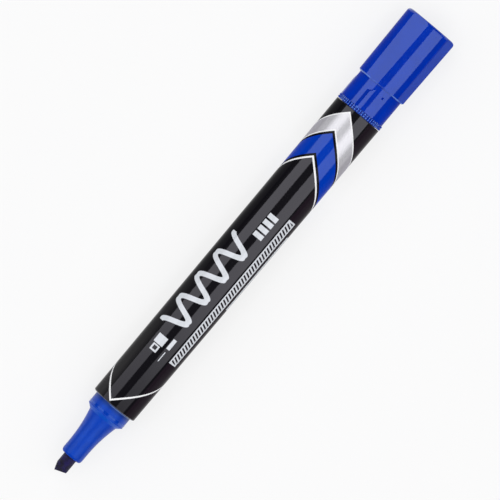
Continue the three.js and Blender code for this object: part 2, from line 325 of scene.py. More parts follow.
# The cap and the tail plug. Pairs say where a ramp is 0 and where it is 1: heights are counted
# from the surface that the note names, and turns are radians from straight up.
glossyBlueLook = {
    "blue": (0.0005, 0.033, 0.46),
    "deepBlue": (0.0004, 0.029, 0.42),
    # painted highlight, on the ring's crests, the step's edge and the flat
    "highlightBlue": (0.15, 0.36, 0.95),
    # painted shade, for the ring's valleys
    "valleyShadeBlue": (0.0003, 0.008, 0.14),
    "shine": (0.58, 0.77, 1.0),
    "cloud": {"scale": 0.25},
    "cloudRamp": (0.35, 0.65),
    "roughness": 0.06,
    "roughSpread": 0.04,
    "refraction": 1.6,
    "softEnd": 0.02,  # along the cap
    "valleyShadeShare": 0.85,
    "valleyHeights": (-0.1, -0.24),  # from the teeth's crest
    "crestHighlight": 0.9,
    "crestHeights": (-0.09, -0.02),  # from the teeth's crest
    "ribHeights": (0.03, 0.01),  # above these it is a rib's end on the ring
    "crestTurns": (1.3, 0.9),  # painted highlight on the side that faces up
    "stepHighlight": (0.1, 0.4),  # painted highlight, on top and at the sides
    "stepTurns": (0.45, 0.58),
    "stepHeights": (-0.4, -0.3),  # from the head's surface
    # painted sheen on the flat
    "flatSheen": 0.07,
    "flatTurns": (-0.28, -0.22),  # from the middle of the flat
    "flatSide": (0, -0.5),  # across the marker: the flat on the -Y side
    "ridgeHeights": (-0.3, -0.2),  # from a rib's ridge
    "gloss": 0.95,
    "endGloss": 0.45,
    "slantGloss": 0.01,
    "flatSlantGloss": 0.035,
    "ringGloss": 0.6,
}


def glossyBlue():
    nodes = Nodes("glossy_blue_plastic")
    look = glossyBlueLook
    rough, normal = moulded(nodes, look["roughness"], look["roughSpread"])
    cloud = nodes.ramp(nodes.noise(**look["cloud"]), *look["cloudRamp"])
    colour = nodes.mix(cloud, look["deepBlue"], look["blue"])
    fromAxis = nodes.fromAxis()
    fromTop = nodes.math("ABSOLUTE", nodes.turnRound())
    rim, soft = capLow.x / mm, look["softEnd"]
    ringEnd = rim + ringSize["width"]
    step = ringEnd + capSize["skirtLength"]
    skirt = capSize["skirtRadius"]

    # The ring: painted shade darkens the valleys, and a painted highlight makes the crests pale.
    crest = skirt + ringSize["height"]
    onRing = nodes.between(rim, ringEnd, soft)
    # Painted shade: the ring's valleys are coloured dark.
    valley = nodes.times(nodes.rampAt(fromAxis, crest, look["valleyHeights"]), onRing)
    colour = nodes.mix(nodes.times(valley, look["valleyShadeShare"]), colour, look["valleyShadeBlue"])
    # Painted highlight: the ring's crests are coloured pale, most on the side that faces up.
    onCrest = nodes.times(nodes.rampAt(fromAxis, crest, look["crestHeights"]), onRing,
                          nodes.rampAt(fromAxis, crest, look["ribHeights"]))
    wearAndHighlight = nodes.times(onCrest, nodes.ramp(fromTop, *look["crestTurns"]), look["crestHighlight"])

    # Painted highlight on the step's edge, and painted sheen on the flat that the right strip light
    # shines on.
    head = skirt + capSize["headStep"]
    # Painted highlight along the step's edge.
    stepEdge = nodes.times(nodes.rampAt(fromAxis, head, look["stepHeights"]),
                           nodes.between(step, step + capSize["stepBevel"], 2 * soft))
    stepHighlight = nodes.mixValue(nodes.ramp(fromTop, *look["stepTurns"]), *look["stepHighlight"])
    wearAndHighlight = nodes.math("MULTIPLY_ADD", stepEdge, stepHighlight, wearAndHighlight)
    # Painted sheen on the flat on the -Y side.
    onFlat = nodes.times(nodes.between(step, capHigh.x / mm, soft),
                         nodes.ramp(nodes.placeParts()[1], *look["flatSide"]),
                         nodes.rampAt(fromTop, math.radians(90 - flatSize["turn"]), look["flatTurns"]))
    wearAndHighlight = nodes.math("MULTIPLY_ADD", onFlat, look["flatSheen"], wearAndHighlight)
    # The painted highlights and the painted sheen are laid on in one pale blue.
    colour = nodes.mix(wearAndHighlight, colour, look["highlightBlue"])

    slantLevel = nodes.mixValue(onFlat, look["slantGloss"], look["flatSlantGloss"])
    gloss = nodes.slantGloss(look["gloss"], slantLevel, look["endGloss"])
    gloss = nodes.mixValue(onRing, gloss, look["ringGloss"])
    onRib = nodes.times(nodes.between(ringEnd, step, soft),
                        nodes.rampAt(fromAxis, skirt + ribSize["height"], look["ridgeHeights"]))
    gloss = nodes.mixValue(onRib, gloss, look["gloss"])
    return nodes.finish(Base_Color=colour, Roughness=rough, Normal=normal, IOR=look["refraction"],
                        Specular_IOR_Level=gloss, Specular_Tint=look["shine"])


# The nib holder. Places along it are counted from the barrel's front face.
satinBlueLook = {
    "blue": (0.001, 0.050, 0.50),
    "deepBlue": (0.001, 0.041, 0.44),
    # painted light on the bevel
    "bevelLitBlue": (0.001, 0.088, 0.62),
    # painted shadow by the barrel
    "shadowBlue": (0.0003, 0.012, 0.12),
    # painted highlight just before the barrel
    "glintBlue": (0.22, 0.34, 0.66),
    "shine": (0.42, 0.72, 1.0),
    "grain": {"scale": 14.0, "detail": 2.0},
    "grainHeight": 0.006,
    "cloud": {"scale": 0.6, "stretch": (0.4, 1, 1)},
    "cloudRamp": (0.3, 0.7),
    "roughness": (0.33, 0.41),
    "refraction": 1.5,
    "gloss": 0.6,
    "slantGloss": 0.55,
    "endGloss": 0.2,
    "softEnd": 0.05,
    "polishedHalf": 0.36,  # either side of the bead's crest, where the cap snaps over it
    "polishedSoft": 0.1,
    "polishedRoughness": 0.07,
    "polishedGloss": 1.0,
    "shadowShare": 0.6,
    "cornerShadow": (-1.7, -0.35),  # painted shadow, darker towards the barrel
    "glintShare": 0.55,
    "edgeGlint": (-0.32, -0.08),
    "glintTurns": ((0.3, 0.0), (-1.5, -1.0)),
}


def satinBlue():
    nodes = Nodes("satin_blue_plastic")
    look = satinBlueLook
    grain, cloud = nodes.noise(**look["grain"]), nodes.noise(**look["cloud"])
    colour = nodes.mix(nodes.ramp(cloud, *look["cloudRamp"]), look["deepBlue"], look["blue"])
    rimAt, soft = barrelLow.x / mm, look["softEnd"]
    bevelFrom = rimAt - collarSize["length"]
    bevelTo = bevelFrom + collarSize["bevelLength"]
    # Painted light: the bevel, which leans away from the lamps, is coloured paler.
    colour = nodes.mix(nodes.between(bevelFrom, bevelTo, soft), colour, look["bevelLitBlue"])
    # Painted shadow in the corner by the barrel.
    cornerShadow = nodes.rampAt(nodes.placeParts()[0], rimAt, look["cornerShadow"])
    colour = nodes.mix(nodes.times(cornerShadow, look["shadowShare"]), colour, look["shadowBlue"])
    # Painted highlight: a thin pale line just before the barrel, on part of the -Y side.
    edgeGlint = nodes.times(nodes.between(*(rimAt + x for x in look["edgeGlint"]), soft),
                        nodes.pastBoth(nodes.turnRound(), look["glintTurns"]))
    colour = nodes.mix(nodes.times(edgeGlint, look["glintShare"]), colour, look["glintBlue"])
    beadAt = bevelTo + collarSize["beadGap"] + collarSize["beadWidth"] / 2
    half = look["polishedHalf"]
    polished = nodes.between(beadAt - half, beadAt + half, look["polishedSoft"])
    rough = nodes.mixValue(cloud, *look["roughness"])
    rough = nodes.mixValue(polished, rough, look["polishedRoughness"])
    gloss = nodes.slantGloss(look["gloss"], look["slantGloss"], look["endGloss"])
    gloss = nodes.mixValue(polished, gloss, look["polishedGloss"])
    return nodes.finish(Base_Color=colour, Roughness=rough, IOR=look["refraction"],
                        Specular_IOR_Level=gloss, Specular_Tint=look["shine"],
                        Normal=nodes.bump(grain, look["grainHeight"]))


milkyLook = {
    "pale": (0.78, 0.79, 0.78),
    "grey": (0.70, 0.71, 0.70),
    "cloud": {"scale": 0.5},
    "haze": {"scale": 6.0},
    "roughness": (0.38, 0.53),
    "scatter": 0.3,
    "scatterDepth": 2.0,
    "ripple": 0.01,
}


def milkyPlastic():
    nodes = Nodes("milky_plastic")
    look = milkyLook
    cloud = nodes.noise(**look["cloud"])
    colour = nodes.mix(cloud, look["grey"], look["pale"])
    rough = nodes.mixValue(nodes.noise(**look["haze"]), *look["roughness"])
    return nodes.finish(Base_Color=colour, Roughness=rough, Subsurface_Weight=look["scatter"],
                        Subsurface_Scale=look["scatterDepth"] * mm,
                        Normal=nodes.bump(cloud, look["ripple"]))


# Pressed felt: fibres run along the rod, and the soaked surface is dark with a violet cast.
feltLook = {
    "dark": (0.004, 0.003, 0.010),
    "violet": (0.011, 0.006, 0.075),
    "fibre": (0.016, 0.011, 0.075),
    "fibres": {"scale": 9.0, "detail": 4.0, "roughness": 0.6, "stretch": (0.10, 1, 1)},
    "fibreRamp": (0.45, 0.75),
    "pores": {"scale": 5.0, "roughness": 0.6, "stretch": (0.6, 1, 1)},
    "poreShare": 0.8,
    "blotch": {"scale": 0.8, "detail": 2.0},
    "blotchRamp": (0.35, 0.7),
    "relief": 0.10,
    "roughness": (0.5, 0.8),
    "gloss": 0.35,
    "sheen": 0.08,
    "sheenRoughness": 0.5,
}


def inkedFelt():
    nodes = Nodes("inked_felt")
    look = feltLook
    fibres, pores, blotch = (nodes.noise(**look[k]) for k in ("fibres", "pores", "blotch"))
    base = nodes.mix(nodes.ramp(blotch, *look["blotchRamp"]), look["dark"], look["violet"])
    colour = nodes.mix(nodes.ramp(fibres, *look["fibreRamp"]), base, look["fibre"])
    rough = nodes.mixValue(pores, *look["roughness"])
    relief = nodes.math("MULTIPLY_ADD", pores, look["poreShare"], fibres)
    return nodes.finish(Base_Color=colour, Roughness=rough, Specular_IOR_Level=look["gloss"],
                        Sheen_Weight=look["sheen"], Sheen_Roughness=look["sheenRoughness"],
                        Normal=nodes.bump(relief, look["relief"]))


fibreLook = {
    "dark": (0.01, 0.015, 0.12),
    "light": (0.04, 0.07, 0.38),
    "strands": {"scale": 12.0, "detail": 4.0, "roughness": 0.6, "stretch": (0.03, 1, 1)},
    "relief": 0.15,
    "roughness": 0.9,
    "sheen": 0.2,
}


def inkedFibre():
    nodes = Nodes("inked_fibre")
    look = fibreLook
    strands = nodes.noise(**look["strands"])
    colour = nodes.mix(strands, look["dark"], look["light"])
    return nodes.finish(Base_Color=colour, Roughness=look["roughness"], Sheen_Weight=look["sheen"],
                        Normal=nodes.bump(strands, look["relief"]))


filmLook = {
    "grey": (0.62, 0.66, 0.76),
    "pale": (0.80, 0.83, 0.90),
    "creases": {"scale": 0.9, "detail": 2.0, "stretch": (0.3, 1, 1)},
    "creaseHeight": 0.05,
    "roughness": (0.1, 0.2),
    "clearness": 0.8,
    "refraction": 1.5,
}


def clearFilm():
    nodes = Nodes("clear_film")
    look = filmLook
    creases = nodes.noise(**look["creases"])
    tint = nodes.mix(creases, look["grey"], look["pale"])
    rough = nodes.mixValue(creases, *look["roughness"])
    return nodes.finish(Base_Color=tint, Roughness=rough, Transmission_Weight=look["clearness"],
                        IOR=look["refraction"], Normal=nodes.bump(creases, look["creaseHeight"]))


# The barrel's black plastic. Places along it are counted from its front face, and turns are
# radians from straight up.
barrelLook = {
    "black": (0.0060, 0.0055, 0.0075),
    "sheenGrey": (0.038, 0.037, 0.038),  # painted sheen on one side, strongest towards the nib
    "lowSheenBlack": (0.0155, 0.0105, 0.0155),  # painted sheen on the other side
    "edgeHighlightBlack": (0.10, 0.11, 0.15),  # painted highlight on the front edge
    "shine": (0.92, 0.90, 1.0),
    "roughness": 0.08,
    "roughSpread": 0.05,
    "refraction": 1.5,
    "nearNib": (60, -15),  # grows towards the nib
    "sheenTurns": ((0.454, 0.803), (2.918, 2.318)),
    "lowSheenTurns": ((-0.576, -0.663), (-2.918, -2.318)),
    "highlightEdge": (-1, 0.22),
    "highlightSoft": 0.08,
    "highlightRadii": (6.3, 6.6),
    "nearNibGloss": 0.5,
    "lowSideGloss": 0.42,  # share that the low side loses towards the front
    "lowSideTurns": (0.05, -0.05),
    "lowSideFade": (30, -6),
    "sheenEdge": -0.495,  # turn where the low side's sheen ends, at the front face
    "sheenDrift": 0.0018,  # how much farther it ends for each millimetre along
    "sheenSoft": 0.02,
    "pastSheen": 0.9,
    "slantGloss": 0.03,
    "endGloss": 0.68,
}

# What is printed on the barrel. Lengths are millimetres along the axis from the front face, folds
# are degrees from straight up, and slopes say how far a chevron's arm runs along the barrel for
# each millimetre round it.
printLook = {
    "drawRadius": 7.25,  # radius at which the print is laid out flat
    "edgeSoftness": 0.05,
    "inkHeight": 0.006,
    "frontFold": 14.0,
    "frontTip": 0.6,
    "frontSlope": 0.97,
    "frontWidth": 0.7,
    "rearFold": 15.7,
    "rearTip": 89.0,
    "rearSlope": 0.965,
    "rearWidth": 0.7,
    "blueFrom": 89.95,
    "blueTo": 96.95,
    "blueSlope": 0.95,
    "silverFrom": 97.95,
    "silverTo": 104.75,
    "silverSlope": 0.96,
    "silverEdge": 0.5,  # width of the white line along both sides of the silver
}
inkLook = {
    "blue": (0.0006, 0.042, 0.47),
    "greySilver": (0.86, 0.85, 0.91),
    "paleSilver": (0.96, 0.955, 1.0),
    "shadedSilver": (0.40, 0.39, 0.42),
    "shadedTurns": ((0.6, 0.98), (2.1, 1.7)),  # painted shade on the silver, either way round, where it mirrors no light
    "silverMetal": 0.55,
    "silverRoughness": 0.33,
    "streaks": {"scale": 1.0, "detail": 2.0},
    "streakStretch": (2.6, 0.08),  # across the silver's arms and along the barrel
    "signWhite": (0.74, 0.77, 0.82),
    "lineWhite": (0.98, 0.985, 1.0),
    "gapGloss": 0.8,  # share that the black line round the blue loses
}

# Plain panels of the print, as (from, to) along the barrel and (from, to) degrees round it: the
# long strip, a short one beside it, a nib sign of two blocks, a thin and a thick stroke under the
# sign, and a row of four blocks behind the wave.
plainPanels = [
    (19.2, 71.0, -60, -35.6),
    (40.4, 66.8, -82, -72),
    (21.3, 24.1, 1, 26),
    (18.9, 21.0, 4, 22),
    (17.6, 20.8, -13.5, -11.5),
    (21.8, 25.2, -17, -8),
    (61.4, 62.9, -16, 8),
    (63.5, 65.0, -16, 8),
    (65.6, 67.1, -16, 8),
    (67.7, 69.2, -16, 8),
]
darkPanels = [(19.4, 20.6, 8, 18)]  # cut out of the second block
hatch = {"place": (19.7, 70.5, -56, -39), "slope": -0.35, "pitch": 1.1, "share": 0.31, "soft": 0.12}
swash = {"from": 27.0, "to": 59.0, "length": 8.0, "middleTurn": 19.5, "reach": 3.5, "width": 1.6}


# A notebook for what is laid out along the barrel and round it.
class BarrelNodes(Nodes):
    def __init__(self, name):
        super().__init__(name)
        self.front = barrelLow.x / mm
        self.alongX = self.placeParts()[0]
        self.turn = self.turnRound()

    # How far round the barrel a point is from a fold, either way.
    def arcFrom(self, fold):
        fromFold = self.math("SUBTRACT", self.turn, math.radians(fold))
        return self.times(self.math("PINGPONG", fromFold, math.pi), printLook["drawRadius"])

    # Distance along the barrel, counted along lines that slope with the arms.
    def sloped(self, arc, slope):
        return self.math("MULTIPLY_ADD", arc, slope, self.alongX)

    # 1 between two such distances.
    def stripe(self, at, low, high):
        return self.within(at, self.front + low, self.front + high, printLook["edgeSoftness"])

    # 1 between two distances along and two turns round, in degrees.
    def panel(self, fromX, toX, fromTurn, toTurn):
        low, high = math.radians(fromTurn), math.radians(toTurn)
        softTurn = printLook["edgeSoftness"] / printLook["drawRadius"]
        inTurn = self.within(self.turn, low, high, softTurn)
        return self.times(self.stripe(self.alongX, fromX, toX), inTurn)


# The signs: panels, a hatch down the middle of the long strip, and one long wave.
def signs(nodes):
    white = nodes.anyOf(*(nodes.panel(*place) for place in plainPanels))
    for place in darkPanels:
        white = nodes.without(white, nodes.panel(*place))
    slanted = nodes.sloped(nodes.turn, printLook["drawRadius"] * hatch["slope"])
    wave = nodes.math("PINGPONG", nodes.math("DIVIDE", slanted, hatch["pitch"]), 0.5)
    strokes = nodes.rampAt(wave, 0.5 - hatch["share"], (0, hatch["soft"]))
    white = nodes.without(white, nodes.times(strokes, nodes.panel(*hatch["place"])))

    # As a pen draws it: the distance to the wave is measured square to its line.
    pace = 2 * math.pi / swash["length"]
    fromStart = nodes.math("SUBTRACT", nodes.alongX, nodes.front + swash["from"])
    phase = nodes.times(fromStart, pace)
    fromMiddle = nodes.math("SUBTRACT", nodes.turn, math.radians(swash["middleTurn"]))
    aside = nodes.times(fromMiddle, printLook["drawRadius"])
    crest = nodes.times(nodes.math("COSINE", phase), swash["reach"])
    climb = nodes.times(nodes.math("SINE", phase), swash["reach"] * pace)
    steep = nodes.math("SQRT", nodes.math("MULTIPLY_ADD", climb, climb, 1))
    off = nodes.math("DIVIDE", nodes.math("ABSOLUTE", nodes.math("SUBTRACT", aside, crest)), steep)
    soft = printLook["edgeSoftness"]
    line = nodes.rampAt(off, swash["width"] / 2, (soft, -soft))
    return nodes.anyOf(white, nodes.times(line, nodes.stripe(nodes.alongX, swash["from"], swash["to"])))


def blackPlastic(nodes, nearNib):
    look = barrelLook
    # Painted sheen on the +Y side, strongest towards the nib: film here is this painted sheen.
    film = nodes.times(nodes.pastBoth(nodes.turn, look["sheenTurns"]), nearNib)
    colour = nodes.mix(film, look["black"], look["sheenGrey"])
    # Painted sheen on the -Y side.
    colour = nodes.mix(nodes.pastBoth(nodes.turn, look["lowSheenTurns"]), colour, look["lowSheenBlack"])
    # Painted highlight on the barrel's front edge.
    low, high = (nodes.front + x for x in look["highlightEdge"])
    edge = nodes.times(nodes.within(nodes.alongX, low, high, look["highlightSoft"]),
                       nodes.ramp(nodes.fromAxis(), *look["highlightRadii"]))
    return nodes.mix(edge, colour, look["edgeHighlightBlack"])


def barrelGloss(nodes, nearNib):
    look = barrelLook
    level = nodes.mixValue(nearNib, 1, look["nearNibGloss"])
    lowSide = nodes.times(nodes.ramp(nodes.turn, *look["lowSideTurns"]),
                          nodes.rampAt(nodes.alongX, nodes.front, look["lowSideFade"]))
    level = nodes.lessened(level, lowSide, look["lowSideGloss"])
    drift, soft = look["sheenDrift"], look["sheenSoft"]
    spread = nodes.math("MULTIPLY_ADD", nodes.alongX, drift, nodes.turn)
    past = nodes.rampAt(spread, drift * nodes.front + look["sheenEdge"], (soft, -soft))
    level = nodes.lessened(level, past, look["pastSheen"])
    return nodes.slantGloss(level, look["slantGloss"], look["endGloss"])


def printedBarrel():
    nodes = BarrelNodes("printed_black_plastic")
    look, ink = printLook, inkLook
    nearNib = nodes.rampAt(nodes.alongX, nodes.front, barrelLook["nearNib"])
    colour = blackPlastic(nodes, nearNib)

    # The V line at the front, and the one at the rear with a blue and a silver chevron behind it
    rearArc = nodes.arcFrom(look["rearFold"])
    frontAt = nodes.sloped(nodes.arcFrom(look["frontFold"]), -look["frontSlope"])
    rearAt = nodes.sloped(rearArc, look["rearSlope"])
    blueAt = nodes.sloped(rearArc, look["blueSlope"])
    silverAt = nodes.sloped(rearArc, look["silverSlope"])
    front = nodes.stripe(frontAt, look["frontTip"], look["frontTip"] + look["frontWidth"])
    rear = nodes.stripe(rearAt, look["rearTip"] - look["rearWidth"], look["rearTip"])
    blue = nodes.stripe(blueAt, look["blueFrom"], look["blueTo"])
    silver = nodes.stripe(silverAt, look["silverFrom"], look["silverTo"])
    silverCore = nodes.stripe(silverAt, look["silverFrom"] + look["silverEdge"],
                              look["silverTo"] - look["silverEdge"])
    lines = nodes.anyOf(front, rear, nodes.without(silver, silverCore))
    white = signs(nodes)

    # Inks
    across, along = ink["streakStretch"]
    streakAt = nodes.add("CombineXYZ", {"X": nodes.times(silverAt, across),
                                        "Y": nodes.times(nodes.alongX, along)}).outputs[0]
    streaks = nodes.noise(**ink["streaks"], vector=streakAt)
    # Painted shade: the silver is darker either way round, where it mirrors no light.
    silverShade = nodes.pastBoth(nodes.math("ABSOLUTE", nodes.turn), ink["shadedTurns"])
    metallic = nodes.mix(silverShade, nodes.mix(streaks, ink["greySilver"], ink["paleSilver"]), ink["shadedSilver"])
    for mask, tint in ((blue, ink["blue"]), (silver, metallic), (white, ink["signWhite"]),
                       (lines, ink["lineWhite"])):
        colour = nodes.mix(mask, colour, tint)

    rough, normal = moulded(nodes, barrelLook["roughness"], barrelLook["roughSpread"])
    rough = nodes.mixValue(silver, rough, ink["silverRoughness"])
    normal = nodes.bump(nodes.anyOf(silver, blue, white, lines), look["inkHeight"], normal)
    gap = nodes.without(nodes.stripe(rearAt, look["rearTip"], look["silverFrom"]), blue)
    gloss = nodes.lessened(barrelGloss(nodes, nearNib), gap, ink["gapGloss"])
    shine = nodes.mix(blue, barrelLook["shine"], glossyBlueLook["shine"])
    return nodes.finish(Base_Color=colour, Metallic=nodes.times(silverCore, ink["silverMetal"]),
                        Roughness=rough, Normal=normal, IOR=barrelLook["refraction"],
                        Specular_IOR_Level=gloss, Specular_Tint=shine)


# Barrel
barrelSize = {
    "bore": 5.6,
    "frontRadius": 7.07,
    "tailRadius": 7.44,
    "frontRound": 0.4,
    "tailRound": 0.14,
    "boreBevel": 0.12,
    "turnSteps": 160,
}


def makeBarrel():
    size = barrelSize
    length = (barrelHigh.x - barrelLow.x) / mm
    section = [
        (0, size["bore"], size["boreBevel"]),
        (0, size["frontRadius"], size["frontRound"]),
        (length, size["tailRadius"], size["tailRound"]),
        (length, size["bore"], size["boreBevel"]),
    ]
    shape = turned(section, barrelLow.x, steps=size["turnSteps"])
    piece(shape, "barrel_tube", "marker", "barrel", materials["barrel"])


# Collar that the cap snaps on, on the nib holder and again on the tail plug
collarSize = {
    "radius": 5.98,
    "length": 4.72,
    "bevelLength": 1.1,
    "beadHeight": 0.09,
    "beadWidth": 0.9,
    "beadGap": 0.4,  # between the bead and the bevel
    "frontRadius": 4.64,
    "plugRadius": 5.15,
    "plugBore": 4.25,
    "leadIn": 0.5,
    "sealHeight": 0.15,
    "sealWidth": 0.9,
    "sealPlaces": (5.2, 2.2),
}


# The outside of a plug and its collar, from the plug's rim inside the barrel to the collar's bevel.
def plugAndCollar(plugLength):
    size = collarSize
    points = [(-plugLength, size["plugRadius"] - size["leadIn"] / 2),
              (-plugLength + size["leadIn"], size["plugRadius"])]
    for place in size["sealPlaces"]:
        points += beadPoints(-place, size["sealWidth"], size["plugRadius"], size["sealHeight"])
    bevelFrom = size["length"] - size["bevelLength"]
    beadAt = bevelFrom - size["beadGap"] - size["beadWidth"] / 2
    points += [(0, size["plugRadius"]), (0, size["radius"])]
    points += beadPoints(beadAt, size["beadWidth"], size["radius"], size["beadHeight"])
    return points + [(bevelFrom, size["radius"])]


holderSize = {
    "nibBore": 2.35,
    "neckRadius": 3.31,
    "neckStraight": 3.35,
    "flareLength": 10.68,
    "flareRadius": 43.6,
    "noseLength": 1.1,
    "noseDrop": 0.71,
    "tubeWall": 1.0,
    "pocketDepth": 9.0,
    "flareSteps": 24,
    "noseSteps": 8,
    "ventCount": 3,
    "ventWidth": 0.8,
    "ventDepth": 0.35,
    "ventStart": 3.0,
    "ventRoot": 0.5,  # from the axis, inside the nib's bore
    "ventPast": 1.0,  # how far the cut runs on past the plug's end
    "mouthRound": 0.08,
    "tubeRound": 0.2,
}


def makeNibHolder():
    size = holderSize
    reach = (barrelLow.x - holderLow.x) / mm
    plugLength = (holderHigh.x - barrelLow.x) / mm
    section = plugAndCollar(plugLength)
    for i in range(size["flareSteps"] + 1):
        left = size["flareLength"] * (1 - i / size["flareSteps"])
        rise = size["flareRadius"] - math.sqrt(size["flareRadius"] ** 2 - left ** 2)
        section.append((reach - size["neckStraight"] - left, size["neckRadius"] + rise))
    for i in range(size["noseSteps"] + 1):
        angle = math.pi / 2 * i / size["noseSteps"]
        section.append((reach - size["noseLength"] * (1 - math.sin(angle)),
                        size["neckRadius"] - size["noseDrop"] * (1 - math.cos(angle))))
    tubeRadius = size["nibBore"] + size["tubeWall"]
    pocketEnd = size["pocketDepth"] - plugLength
    section += [
        (reach, size["nibBore"], size["mouthRound"]),
        (-plugLength, size["nibBore"]),
        (-plugLength, tubeRadius, size["tubeRound"]),
        (pocketEnd, tubeRadius),
        (pocketEnd, collarSize["plugBore"]),
        (-plugLength, collarSize["plugBore"]),
    ]
    shape = turned(section, barrelLow.x, facing=-1)
    half, root, deep = size["ventWidth"] / 2, size["ventRoot"], size["nibBore"] + size["ventDepth"]
    outline = [(-half, root), (half, root), (half, deep), (-half, deep)]
    front, back = holderLow.x / mm + size["ventStart"], holderHigh.x / mm + size["ventPast"]
    grooves = [spunAboutX(bar(outline, front, back), 360 * i / size["ventCount"])
               for i in range(size["ventCount"])]
    shape = combined(shape, "holder_blank", "DIFFERENCE", grooves)
    piece(shape, "nib_holder_cone", "marker", "nib_holder",
          materials["satinBlue"])


nibSize = {
    "radius": 2.05,
    "tailTaper": 1.2,
    "cornerOffset": 1.2,
    "edgeAngle": 20.8,
    "edgeThickness": 1.3,
    "wedgeAngle": 33.0,
    "cornerBevel": 19.5,
    "softEdge": 0.05,
    "crispAngle": 20.0,  # edges sharper than this are softened
    "facets": 64,
}


def makeNib():
    size = nibSize
    tip = nibLow.x
    length = (nibHigh.x - tip) / mm
    section = [
        (0, 0),
        (0, size["radius"]),
        (length - size["tailTaper"], size["radius"]),
        (length, size["radius"] / 2),
        (length, 0),
    ]
    shape = turned(section, tip, steps=size["facets"])
    slant, bevel, wedge, crisp = (math.radians(size[k]) for k in (
        "edgeAngle", "cornerBevel", "wedgeAngle", "crispAngle"))
    corner = Vector((tip, size["cornerOffset"] * mm, 0))
    square = Vector((-math.cos(slant), -math.sin(slant), 0))
    cutOff(shape, corner, square)
    cutOff(shape, corner, Vector((-math.sin(bevel), math.cos(bevel), 0)))
    for side in (1, -1):
        up = Vector((0, 0, side))
        cutOff(shape, corner + up * size["edgeThickness"] / 2 * mm,
               square * math.sin(wedge) + up * math.cos(wedge))
    edges = [e for e in shape.edges if len(e.link_faces) == 2 and e.calc_face_angle() > crisp]
    bmesh.ops.bevel(shape, geom=edges, offset=size["softEdge"] * mm, offset_type="OFFSET", segments=3,
                    profile=0.5, affect="EDGES", material=-1, clamp_overlap=True)
    piece(shape, "chisel_nib", "marker", "nib", materials["felt"])


tailSize = {
    "endWall": 1.2,
    "plugWall": 0.9,
    "finThickness": 0.8,
    "finSetback": 0.5,
    "finDepth": 6.0,
    "endRound": 0.15,
}


def makeTailPlug():
    size = tailSize
    length = collarSize["length"]
    plugLength = (barrelHigh.x - plugLow.x) / mm
    innerEnd = length - size["endWall"]
    section = plugAndCollar(plugLength) + [
        (length, collarSize["frontRadius"], size["endRound"]),
        (length, 0),
        (innerEnd, 0),
        (innerEnd, collarSize["frontRadius"] - size["plugWall"]),
        (innerEnd - size["plugWall"], collarSize["plugBore"]),
        (-plugLength, collarSize["plugBore"]),
    ]
    shape = turned(section, barrelHigh.x)
    reach = collarSize["plugBore"] + size["plugWall"] / 2
    half = size["finThickness"] / 2
    start = barrelHigh.x / mm - plugLength + size["finSetback"]
    outline = [(-reach, -half), (reach, -half), (reach, half), (-reach, half)]
    fins = [spunAboutX(bar(outline, start, start + size["finDepth"]), turn) for turn in (0, 90)]
    shape = combined(shape, "plug_blank", "UNION", fins)
    piece(shape, "tail_stub", "marker", "tail_plug", materials["glossyBlue"])


# Cap
capSize = {
    "bore": 6.22,
    "mouthBevel": 0.3,
    "skirtRadius": 7.22,
    "skirtLength": 8.2,
    "headStep": 0.7,
    "stepBevel": 0.35,
    "headFlare": 0.3,
    "endRound": 1.0,
    "gateRadius": 0.8,
    "gateDepth": 0.15,
    "gateRound": 0.1,
    "turnSteps": 224,  # four to each tooth of the ring
    "cornerSegments": 8,
    "sharpAngle": 8,
}
ringSize = {
    "width": 1.42,
    "height": 0.3,
    "bevel": 0.2,
    "teeth": 56,
    "depth": 0.26,
    "grooveWidth": 0.36,
    "grooveDepth": 0.17,
    "near": 1e-3,  # what counts as the same place when the teeth are cut
}
ribSize = {
    "count": 3,
    "turn": 12.0,  # degrees from straight up
    "spacing": 90.0,
    "height": 0.36,
    "foot": 2.1,
    "flankReach": 1.15,  # share of the foot that the flanks reach, a little below the skirt
    "root": 0.5,  # below the skirt's surface
    "length": 6.0,
    "endSlope": 36.0,
    "endSkew": 32.0,
    "intoRing": 0.25,  # so that it starts inside the ring
}
flatSize = {
    "count": 4,
    "turn": 26.6,  # degrees from straight up
    "front": 7.55,
    "rise": 0.14,
    "cutHalf": 9.0,  # the block that cuts a flat: half its width, and its top
    "cutTop": 12.0,
    "cutStart": 1.0,  # before the head
    "cutEnd": 2.0,  # past it
}
notchSize = {"along": 7.45, "turn": -21.5, "length": 0.75, "width": 1.6, "depth": 0.5, "above": 0.3}


# The toothed ring: each valley line of the turned ring is drawn in towards the axis.
def cutTeeth(shape):
    size = ringSize
    crest = capSize["skirtRadius"] + size["height"]
    perTooth = capSize["turnSteps"] / size["teeth"]
    for vert in shape.verts:
        along = (vert.co.x - capLow.x) / mm
        radius = radiusOf(vert) / mm
        if along > size["width"] + size["near"] or radius < crest - size["bevel"] - size["near"]:
            continue
        step = turnOf(vert) / (2 * math.pi) * capSize["turnSteps"]
        phase = (step % perTooth) / perTooth
        target = min(radius, crest - size["depth"] * (1 - abs(2 * phase - 1)))
        bmesh.ops.scale(shape, verts=[vert], vec=(1, target / radius, target / radius))


def ribBar():
    size = ribSize
    skirt = capSize["skirtRadius"]
    half = size["foot"] / 2
    root = skirt - size["root"]
    crest = skirt + size["height"]
    footHeight = crest - size["flankReach"] * (crest - math.sqrt(skirt ** 2 - half ** 2))
    wide = half * size["flankReach"]
    outline = [(-wide, root), (wide, root), (wide, footHeight), (0, crest), (-wide, footHeight)]
    ringEnd = capLow.x / mm + ringSize["width"]
    shape = bar(outline, ringEnd - size["intoRing"], ringEnd + capSize["skirtLength"])
    slope, skew = math.radians(size["endSlope"]), math.radians(size["endSkew"])
    across = math.sin(slope)
    normal = Vector((across * math.cos(skew), across * math.sin(skew), math.cos(slope)))
    cutOff(shape, Vector((ringEnd + size["length"], 0, skirt)) * mm, normal)
    return shape


